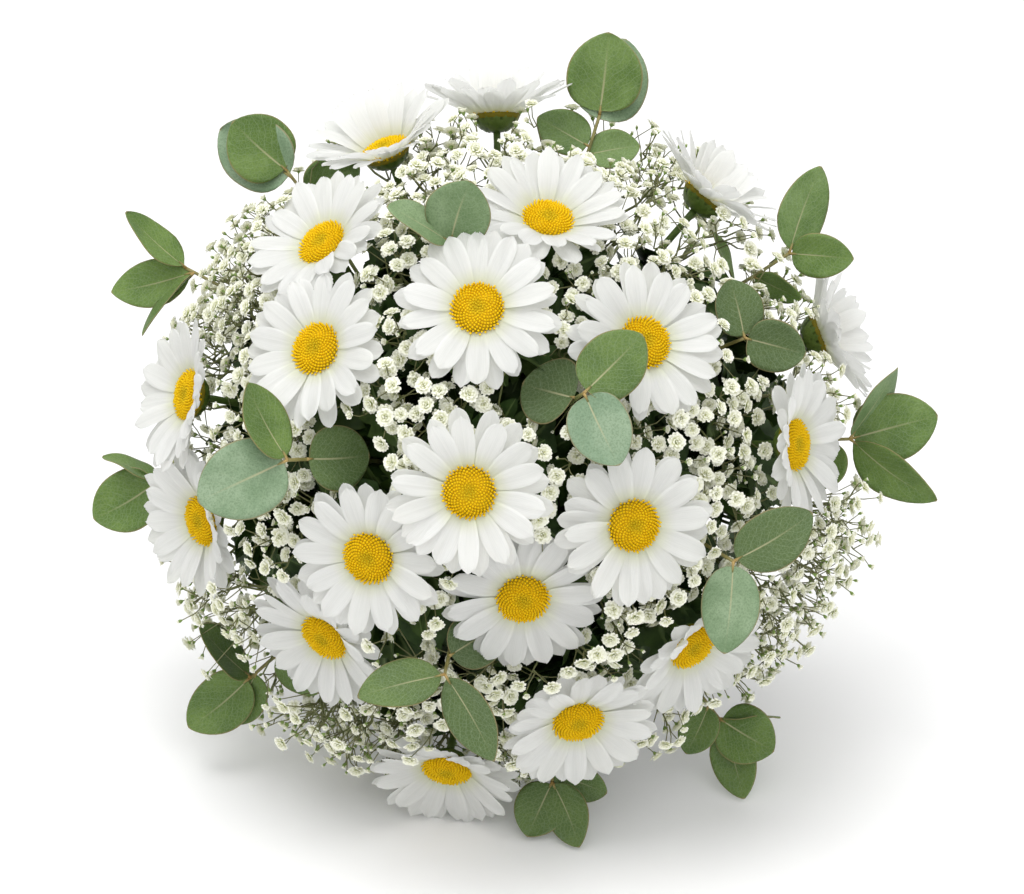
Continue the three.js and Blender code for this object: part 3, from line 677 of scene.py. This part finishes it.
def floret(rng, kind):
    """A baby's breath flower along +Z: 0 fully open and double, 1 half open, 2 a bud."""
    skin = Skin()
    if kind == 2:
        whorls = [(4, 1.3, 66, 1.5)]
    elif kind == 1:
        whorls = [(5, 2.4, 45, 2.3), (4, 1.9, 70, 1.9)]
    else:
        whorls = [(7, 3.7, 8, 2.9), (6, 3.1, 27, 2.7), (5, 2.4, 48, 2.3), (4, 1.7, 68, 1.8)]
    blade = [(0.1, -0.1, 0), (0.1, 0.1, 0), (0.5, -0.4, 0.1), (0.5, 0.4, 0.1), (0.5, 0, -0.1),
             (0.82, -0.5, 0.1), (0.82, 0.5, 0.1), (1, -0.26, -0.02), (0.92, 0, 0.08), (1, 0.26, -0.02)]
    faces = [(0, 4, 2), (0, 1, 4), (1, 3, 4), (2, 4, 8, 5), (4, 3, 6, 8), (5, 8, 7), (8, 6, 9)]
    for row, (count, length, lift, width) in enumerate(whorls):
        for k in range(count):
            a = (k + 0.5 * (row % 2) + rng.uniform(-0.25, 0.25)) / count * 2 * math.pi
            up = math.radians(lift + rng.uniform(-10, 10))
            l, w = length * rng.uniform(0.88, 1.1), width * rng.uniform(0.88, 1.12)
            points = []
            for x, y, z in blade:
                x, y, z = x * l, y * w, z * w + rng.uniform(-0.14, 0.14)
                outward = x * math.cos(up) - z * math.sin(up)
                points.append((outward, y, x * math.sin(up) + z * math.cos(up) + 0.5))
            # Low tints at each petal's base, lower on the inner whorls, make the greenish-cream heart:
            # partly the floret's own green centre, partly painted shade between its petals.
            inner = np.array([0.1, 0.1, 0.6, 0.6, 0.35, 1, 1, 1, 0.8, 1])
            skin.add(turned(np.array(points), a), faces, tint=inner * (1 - 0.1 * row))
    r, h = (0.75, 1.3) if kind == 2 else (1.0, 1.6)
    ring = np.arange(5) / 5 * 2 * math.pi
    cup = [(0.25 * math.cos(t), 0.25 * math.sin(t), -0.7) for t in ring]
    cup += [(r * math.cos(t), r * math.sin(t), h * 0.35) for t in ring]
    cup += [(r * 0.75 * math.cos(t), r * 0.75 * math.sin(t), h * 0.8) for t in ring]
    skin.add(np.array(cup), grid_faces(3, 5, closed=True), tint=-1)
    return np.concatenate(skin.points) * MM, skin.faces, np.concatenate(skin.tint)


def clear_of_leaves(point, margin):
    """True if a point is neither near a eucalyptus leaf nor over its face."""
    for base, along, normal, length, width in leaves:
        offset = point - base
        height = float(np.dot(offset, normal))
        run = float(np.dot(offset, along))
        across = abs(float(np.dot(offset, np.cross(normal, along))))
        if -margin < run < length + margin and across < width / 2 + margin and -3 * MM < height < 30 * MM:
            return False
        for share in (0.2, 0.4, 0.6, 0.8):
            if in_front(point, base + along * length * share, width * 0.42):
                return False
    return True


def in_front(point, target, radius):
    """True if a point is in front of a target, seen along the bunch's axis."""
    offset = point - target
    ahead = float(np.dot(offset, AXIS))
    return ahead > -5 * MM and np.linalg.norm(offset - AXIS * ahead) < radius


def spray_tips(rng):
    """Where the florets are, by spray: each one's point, way out of the dome and kind."""
    middles = [heading(bearing, lean) for bearing, lean in SPRAY_PLAN]
    shares = [[] for _ in SPRAY_PLAN]
    cells = {}
    for k in range(FLORET_TRIES):
        way, z = scattered(k, 1.36)
        angles = [math.degrees(math.acos(np.clip(np.dot(way, m), -1, 1))) for m in middles]
        spray = int(np.argmin(angles))
        patch = noise.noise(Vector(way * 5.5)) * 0.5 + noise.noise(Vector(way * 16)) * 0.35
        if angles[spray] > 34 or patch < -0.27 - (18 - angles[spray]) * 0.012:
            continue
        depth = rng.choice([-3, -1, 1, 3, 5, 8, 12, 18])
        bearing = math.degrees(math.atan2(*(TO_WORLD[:2] @ way)))
        lace = sum(math.exp(-(((bearing - b + 180) % 360 - 180) / 22) ** 2) for b in LACY_BEARINGS)
        if z < 0.5:
            depth -= rng.uniform(0, 7) + lace * rng.uniform(0, 15)
        point = DOME + way * (DOME_RADIUS - depth * MM)
        full = 0.56 + 0.32 * max(0, z) - 0.12 * min(1, lace) * (z < 0.5)
        kind = rng.choices([0, 1, 2], [full, (1 - full) * 0.55, (1 - full) * 0.45])[0]
        gap = FLORET_SPACING * (1.0 if kind == 0 else 0.78) * (1 + 0.2 * min(1, lace) * (z < 0.5))
        cell = tuple(np.floor(point / FLORET_SPACING).astype(int))
        around = [
            q
            for dx, dy, dz in product((-1, 0, 1), repeat=3)
            for q in cells.get((cell[0] + dx, cell[1] + dy, cell[2] + dz), [])
        ]
        if any(np.linalg.norm(q - point) < gap for q in around) or point[2] < 5 * MM:
            continue
        if not clear_of_heads(point, 1.2 * MM) or not clear_of_leaves(point, 2.0 * MM):
            continue
        cells.setdefault(cell, []).append(point)
        shares[spray].append((point, way, kind))
    return shares


def babys_breath(number, tips, prototypes, rng):
    """A spray: its stem, and branches that fork until each ends in one floret."""
    name = numbered("babys_breath_spray", number)
    twigs, flowers = Skin(), Skin()
    trunk = stem_line(name, 5)
    tube(twigs, trunk, (1.2 * MM, 0.9 * MM), 6, 6 * MM, tint=0.2)
    points = np.array([tip[0] for tip in tips])

    def branch(start, way, group):
        """A branch from start to the next fork, or to the flower if the group is one tip."""
        if len(group) == 1:
            point, outward, kind = tips[group[0]]
            facing = unit(unit(point - start) + outward * 0.7 + [rng.gauss(0, 0.25) for _ in range(3)])
            foot = point - facing * 0.8 * MM
            bow = (start + foot) / 2 + sag(rng, 1.2)
            tube(twigs, [start, bow, foot], (0.34 * MM, 0.24 * MM), 3, 6 * MM, tint=0.7, caps=False)
            shape, faces, tint = rng.choice(prototypes[kind])
            side = unit(np.cross(facing, [0.3, 0.5, 0.81]))
            shape = turned(shape, rng.uniform(0, 6.28)) * rng.uniform(0.88, 1.14)
            flowers.add(oriented(shape, foot, side, facing), faces, tint=tint)
            return
        some = points[group]
        middle = some.mean(0)
        spread = float(np.sqrt(((some - middle) ** 2).sum(1).mean()))
        back = unit(start - middle)
        fork = middle + back * min(spread * 1.1 + 4 * MM, np.linalg.norm(start - middle) * 0.8)
        fork = fork + sag(rng, 2)
        thick = (0.3 + 0.09 * math.log2(len(group))) * MM
        bow = start + way * np.linalg.norm(fork - start) * 0.4 + sag(rng, 1)
        tube(twigs, [start, bow, fork], (thick * 1.15, thick), 4, 8 * MM, tint=0.5, caps=False)
        onward = unit(fork - bow)
        for half in split(points, group, (len(group) + 1) // 2):
            branch(fork, onward, half)

    way = unit(trunk[-1] - trunk[-2])
    for group in split(points, list(range(len(tips))), 34):
        branch(trunk[-1] - way * rng.uniform(0, 14) * MM, way, group)
    flowers.build(name + "_florets", floret_material, "babys_breath_floret", [name], smooth=False)
    twigs.build(name + "_branches", twig_material, "babys_breath_stem", [name])


def sag(rng, size):
    """A small random bend in a branch, in millimetres."""
    return np.array([rng.gauss(0, size / 2) for _ in range(3)]) * MM


def split(points, group, size):
    """A group of points cut in halves along its longest side until none is over a size."""
    if len(group) <= size:
        return [group] if group else []
    some = points[group]
    axis = np.linalg.svd(some - some.mean(0), full_matrices=False)[2][0]
    ranked = [group[i] for i in np.argsort((some - some.mean(0)) @ axis)]
    middle = len(ranked) // 2
    return split(points, ranked[:middle], size) + split(points, ranked[middle:], size)


# ---------------------------------------------------------------- twine

def twine_skin(rng):
    """Turns of two-ply twine round the waist."""
    skin = Skin()
    points, _ = node_mesh("twine_binding")
    across = points - waist
    inner = np.linalg.norm(across - np.outer(across @ AXIS, AXIS), axis=1).min()
    radius = inner + TWINE_DIAMETER * 0.45
    steps = TWINE_TURNS * 60
    middle = []
    for k in range(steps + 1):
        turn = k / 60
        a = turn * 2 * math.pi
        height = (turn - TWINE_TURNS / 2) * TWINE_DIAMETER * 0.92
        r = radius + 0.12 * MM * math.sin(turn * 9)
        middle.append(waist + RIGHT * r * math.cos(a) + UP * r * math.sin(a) + AXIS * height)
    middle = np.array(middle)
    ways = unit_rows(np.gradient(middle, axis=0))
    outward = unit_rows(middle - waist - np.outer((middle - waist) @ AXIS, AXIS))
    other = np.cross(ways, outward)
    for ply in (0, 1, 2):
        twist = np.arange(steps + 1) / 60 * 2 * math.pi * 15 + ply * 2 * math.pi / 3
        swing = outward * np.cos(twist)[:, None] + other * np.sin(twist)[:, None]
        strand = middle + swing * TWINE_DIAMETER * 0.25
        tube(skin, strand[::2], 0.58 * MM, 6, 5 * MM, tint=ply * 0.3 + 0.2)
    return skin


# ---------------------------------------------------------------- materials

class Nodes:
    """A short way to make a material's nodes."""

    def __init__(self, name, roughness, **settings):
        self.material = bpy.data.materials.new(name)
        self.material.use_nodes = True
        self.tree = self.material.node_tree
        self.shader = self.tree.nodes["Principled BSDF"]
        self.output = self.tree.nodes["Material Output"]
        self.shader.inputs["Roughness"].default_value = roughness
        for key, value in settings.items():
            self.shader.inputs[key.replace("_", " ")].default_value = value
        self.uv = self.make("ShaderNodeUVMap", uv_map="Surface").outputs["UV"]
        self.across, self.along, _ = self.make("ShaderNodeSeparateXYZ", {"Vector": self.uv}).outputs
        self.tint = self.make("ShaderNodeAttribute", attribute_name="tint").outputs["Fac"]
        self.place = self.make("ShaderNodeTexCoord").outputs["Object"]

    def make(self, kind, inputs=None, **settings):
        node = self.tree.nodes.new(kind)
        for key, value in settings.items():
            setattr(node, key, value)
        for key, value in (inputs or {}).items():
            self.put(node.inputs[key], value)
        return node

    def put(self, socket, value):
        if isinstance(value, bpy.types.NodeSocket):
            self.tree.links.new(value, socket)
        else:
            socket.default_value = value

    def math(self, operation, a, b=0.0, c=0.0):
        node = self.make("ShaderNodeMath", operation=operation)
        for socket, value in zip(node.inputs, (a, b, c)):
            self.put(socket, value)
        return node.outputs[0]

    def step(self, value, low, high, to_low=0.0, to_high=1.0):
        node = self.make("ShaderNodeMapRange", interpolation_type="SMOOTHSTEP")
        names = ("Value", "From Min", "From Max", "To Min", "To Max")
        for key, item in zip(names, (value, low, high, to_low, to_high)):
            self.put(node.inputs[key], item)
        return node.outputs["Result"]

    def mix(self, factor, a, b):
        node = self.make("ShaderNodeMix", data_type="RGBA")
        self.put(node.inputs["Factor"], factor)
        self.put(node.inputs["A"], a)
        self.put(node.inputs["B"], b)
        return node.outputs["Result"]

    def noise(self, vector, scale, detail=3.0, stretch=None):
        if stretch:
            vector = self.make("ShaderNodeMapping", {"Vector": vector, "Scale": stretch}).outputs[0]
        node = self.make("ShaderNodeTexNoise", {"Vector": vector, "Scale": scale, "Detail": detail})
        return node.outputs["Fac"]

    def colour(self, value):
        self.put(self.shader.inputs["Base Color"], value)
        self.base = value

    def bump(self, height, strength, distance):
        node = self.make("ShaderNodeBump", {"Height": height, "Strength": strength, "Distance": distance})
        self.put(self.shader.inputs["Normal"], node.outputs[0])

    def translucent(self, share, colour=None):
        """Light through a thin petal or leaf."""
        back = self.make("ShaderNodeBsdfTranslucent", {"Color": colour or self.base})
        both = self.make("ShaderNodeMixShader", {0: share, 1: self.shader.outputs[0], 2: back.outputs[0]})
        self.put(self.output.inputs["Surface"], both.outputs[0])


def rgb(red, green, blue):
    return (red, green, blue, 1.0)


def petal_look():
    n = Nodes("petal", 0.55, Sheen_Weight=0.15)
    streak = n.noise(n.uv, 1.0, 2, stretch=(26, 1.2, 1))
    base = n.mix(n.step(streak, 0.35, 0.7), rgb(0.86, 0.865, 0.85), rgb(0.92, 0.92, 0.91))
    base = n.mix(n.math("MULTIPLY", n.tint, 0.25), base, rgb(0.84, 0.845, 0.80))
    inner = n.step(n.along, 0.02, 0.42, 0.6, 0.0)
    n.colour(n.mix(inner, base, rgb(0.74, 0.78, 0.50)))
    furrow = n.math("COSINE", n.math("MULTIPLY", n.across, 31.4))
    height = n.math("ADD", n.math("MULTIPLY", furrow, 0.5), streak)
    n.bump(height, 0.14, 0.0004)
    n.put(n.shader.inputs["Roughness"], n.step(streak, 0.3, 0.7, 0.48, 0.66))
    n.translucent(0.5)
    return n.material


def disc_look():
    n = Nodes("disc", 0.65, Specular_IOR_Level=0.15)
    grain = n.noise(n.place, 900.0, 3)
    yellow = n.mix(n.step(grain, 0.35, 0.7), rgb(0.74, 0.47, 0.002), rgb(0.84, 0.58, 0.005))
    inner = n.mix(n.step(grain, 0.3, 0.7), rgb(0.48, 0.36, 0.006), rgb(0.66, 0.47, 0.01))
    body = n.mix(n.step(n.tint, 0.12, 0.5), inner, yellow)
    body = n.mix(n.step(n.tint, 1.0, 1.05), body, rgb(0.86, 0.64, 0.03))
    # Painted shade: tints under 0.2 go towards near black, for the shade between the outer florets and under
    # the disc's edge.
    n.colour(n.mix(n.step(n.tint, -0.9, 0.2, 1, 0), body, rgb(0.17, 0.14, 0.01)))
    n.bump(n.noise(n.place, 1600.0, 2), 0.4, 0.0003)
    return n.material


def green_look():
    n = Nodes("daisy_green", 0.55, Specular_IOR_Level=0.25)
    blotch = n.noise(n.place, 160.0, 4)
    fine = n.noise(n.uv, 1.0, 2, stretch=(30, 3, 1))
    # The dark green is the daisy leaves' own colour, made deeper as painted shade for the inside of the
    # bunch.
    dark = n.mix(n.step(blotch, 0.3, 0.7), rgb(0.018, 0.042, 0.008), rgb(0.035, 0.075, 0.014))
    pale = n.mix(n.step(blotch, 0.3, 0.7), rgb(0.075, 0.125, 0.02), rgb(0.12, 0.17, 0.035))
    body = n.mix(n.step(n.tint, 0.1, 0.6), dark, pale)
    vein = n.step(n.math("ABSOLUTE", n.math("SUBTRACT", n.across, 0.5)), 0.0, 0.09, 0.45, 0.0)
    n.colour(n.mix(n.math("MULTIPLY", vein, n.step(n.tint, 0.3, 0.34, 1, 0)), body, rgb(0.2, 0.28, 0.1)))
    n.bump(fine, 0.3, 0.0004)
    n.put(n.shader.inputs["Roughness"], n.step(fine, 0.3, 0.7, 0.42, 0.6))
    return n.material


def leaf_look():
    n = Nodes("eucalyptus_leaf", 0.55, Specular_IOR_Level=0.25)
    off = n.math("ABSOLUTE", n.math("SUBTRACT", n.across, 0.5))
    cloud = n.noise(n.place, 60.0, 4)
    speck = n.noise(n.place, 1300.0, 3)
    green = n.mix(n.step(cloud, 0.3, 0.7), rgb(0.10, 0.175, 0.035), rgb(0.17, 0.265, 0.06))
    blue = n.mix(n.step(cloud, 0.3, 0.7), rgb(0.20, 0.30, 0.19), rgb(0.30, 0.40, 0.27))
    share = n.math("ADD", n.tint, n.math("MULTIPLY", n.math("SUBTRACT", cloud, 0.5), 0.5))
    body = n.mix(n.step(share, 0.0, 1.0), green, blue)
    # Painted shade: a tint under 0 turns the leaf darker green, for leaves that lie in shadow.
    body = n.mix(n.step(n.tint, -1.0, 0.0, 1.0, 0.0), body, rgb(0.085, 0.125, 0.05))
    body = n.mix(n.math("MULTIPLY", n.step(speck, 0.45, 0.62), 0.3), body, rgb(0.07, 0.13, 0.05))
    cells = n.make("ShaderNodeTexVoronoi", {"Vector": n.place, "Scale": 640.0}, feature="DISTANCE_TO_EDGE")
    net = n.step(cells.outputs["Distance"], 0.0, 0.14, 0.12, 0.0)
    body = n.mix(net, body, rgb(0.40, 0.50, 0.33))
    side = n.math("SUBTRACT", n.math("MULTIPLY", n.along, 8.0), n.math("MULTIPLY", off, 7.0))
    wander = n.math("MULTIPLY", n.noise(n.uv, 5.0, 2), 1.2)
    ridge = n.math("ABSOLUTE", n.math("SUBTRACT", n.math("FRACT", n.math("ADD", side, wander)), 0.5))
    veins = n.step(ridge, 0.0, 0.06, 0.22, 0.0)
    body = n.mix(veins, body, rgb(0.38, 0.48, 0.30))
    fade = n.step(n.along, 0.05, 0.9, 0.75, 0.06)
    rib = n.math("MULTIPLY", n.step(off, 0.004, 0.022, 1.0, 0.0), fade)
    body = n.mix(rib, body, rgb(0.50, 0.47, 0.28))
    edge = n.math("MAXIMUM", n.step(off, 0.475, 0.495), n.step(n.along, 0.975, 0.995))
    n.colour(n.mix(n.math("MULTIPLY", edge, 0.6), body, rgb(0.34, 0.25, 0.12)))
    height = n.math("SUBTRACT", n.math("MULTIPLY", speck, 0.3), n.math("ADD", veins, rib))
    n.bump(height, 0.35, 0.0004)
    n.put(n.shader.inputs["Roughness"], n.step(cloud, 0.3, 0.7, 0.42, 0.6))
    n.translucent(0.12)
    return n.material


def shoot_look():
    n = Nodes("eucalyptus_stem", 0.55)
    bark = n.noise(n.place, 300.0, 4)
    green = n.mix(n.step(bark, 0.3, 0.7), rgb(0.10, 0.13, 0.035), rgb(0.17, 0.19, 0.06))
    tan = n.mix(n.step(bark, 0.3, 0.7), rgb(0.36, 0.21, 0.06), rgb(0.48, 0.33, 0.12))
    n.colour(n.mix(n.step(n.tint, 0.35, 1.0), green, tan))
    n.bump(bark, 0.4, 0.0004)
    return n.material


def floret_look():
    n = Nodes("babys_breath_floret", 0.6)
    speck = n.noise(n.place, 800.0, 2)
    white = n.mix(n.step(speck, 0.3, 0.7), rgb(0.93, 0.93, 0.81), rgb(0.97, 0.97, 0.88))
    # The greenish-cream heart is partly the floret's own colour and partly painted shade deep between its
    # petals.
    heart = n.mix(n.step(n.tint, 0.0, 0.85), rgb(0.70, 0.72, 0.38), white)
    n.colour(n.mix(n.step(n.tint, -0.6, -0.2), rgb(0.22, 0.32, 0.08), heart))
    n.bump(speck, 0.3, 0.0003)
    n.translucent(0.18)
    return n.material


def twig_look():
    n = Nodes("babys_breath_stem", 0.55)
    bark = n.noise(n.place, 500.0, 3)
    dark = n.mix(n.step(bark, 0.3, 0.7), rgb(0.08, 0.11, 0.025), rgb(0.14, 0.18, 0.045))
    n.colour(n.mix(n.step(n.tint, 0.2, 0.8), dark, rgb(0.17, 0.17, 0.07)))
    n.bump(bark, 0.3, 0.0003)
    return n.material


def twine_look():
    n = Nodes("twine", 0.9, Sheen_Weight=0.3)
    fibre = n.noise(n.place, 900.0, 4, stretch=(1, 1, 4))
    shade = n.mix(n.step(n.tint, 0.2, 0.8), rgb(0.42, 0.29, 0.14), rgb(0.52, 0.38, 0.20))
    n.colour(n.mix(n.step(fibre, 0.35, 0.7), shade, rgb(0.66, 0.52, 0.32)))
    n.bump(fibre, 0.8, 0.0006)
    return n.material


petal_material, disc_material, stem_material = petal_look(), disc_look(), green_look()
leaf_material, shoot_material = leaf_look(), shoot_look()
floret_material, twig_material, twine_material = floret_look(), twig_look(), twine_look()

# ---------------------------------------------------------------- building the bunch

foliage = foliage_plan(random.Random(90))
for index, head in enumerate(heads):
    number = index + 1
    name = numbered("daisy", number)
    chance = random.Random(100 + number)
    daisy_rays(head, number, chance).build(
        name + "_ray_florets", petal_material, "daisy_rays", [name + "_head"]
    )
    daisy_disc(head, chance).build(name + "_disc", disc_material, "daisy_disc", [name + "_head"])
    daisy_green(head, name + "_stem", foliage[index], chance).build(
        name + "_stem_and_calyx", stem_material, "daisy_stem", [name + "_stem"]
    )
for index, shoots in enumerate(SPRIG_PLAN):
    eucalyptus(index + 1, shoots, random.Random(300 + index))
chance = random.Random(500)
prototypes = [[floret(chance, kind) for _ in range(5)] for kind in range(3)]
for index, tips in enumerate(spray_tips(random.Random(501))):
    babys_breath(index + 1, tips, prototypes, random.Random(520 + index))
twine_skin(random.Random(600)).build("twine_turns", twine_material, "twine", ["twine_binding"])

# ---------------------------------------------------------------- floor, light and camera

floor_mesh = bpy.data.meshes.new("floor")
floor_mesh.from_pydata([(-6, -6, 0), (6, -6, 0), (6, 6, 0), (-6, 6, 0)], [], [(0, 1, 2, 3)])
floor = bpy.data.objects.new("floor", floor_mesh)
scene.collection.objects.link(floor)
paper = Nodes("floor", 0.9)
paper.colour(rgb(0.93, 0.93, 0.93))
floor_mesh.materials.append(paper.material)

world = bpy.data.worlds.new("studio")
scene.world = world
world.use_nodes = True
world.node_tree.nodes["Background"].inputs["Color"].default_value = (1.0, 1.0, 1.0, 1.0)
world.node_tree.nodes["Background"].inputs["Strength"].default_value = 0.88


def lamp(name, place, target, size, power):
    data = bpy.data.lights.new(name, "AREA")
    data.shape, data.size, data.energy = "DISK", size, power
    obj = bpy.data.objects.new(name, data)
    obj.location = place
    obj.rotation_euler = (Vector(target) - Vector(place)).to_track_quat("-Z", "Y").to_euler()
    scene.collection.objects.link(obj)


lamp("key", DOME + UP * 1.4 + AXIS * 0.95 - RIGHT * 0.3, DOME, 1.3, 18.5)
lamp("fill", DOME + UP * 0.4 + AXIS * 1.8 + RIGHT * 0.4, DOME, 1.4, 6)

camera_data = bpy.data.cameras.new("camera")
camera_data.lens, camera_data.sensor_width = CAMERA_LENS, 36
camera = bpy.data.objects.new("camera", camera_data)
scene.collection.objects.link(camera)
aim = DOME + RIGHT * 3.1 * MM - UP * 0.9 * MM
camera.location = aim + AXIS * CAMERA_DISTANCE
camera.rotation_euler = (-Vector(AXIS)).to_track_quat("-Z", "Y").to_euler()
scene.camera = camera
scene.view_settings.view_transform = "Standard"
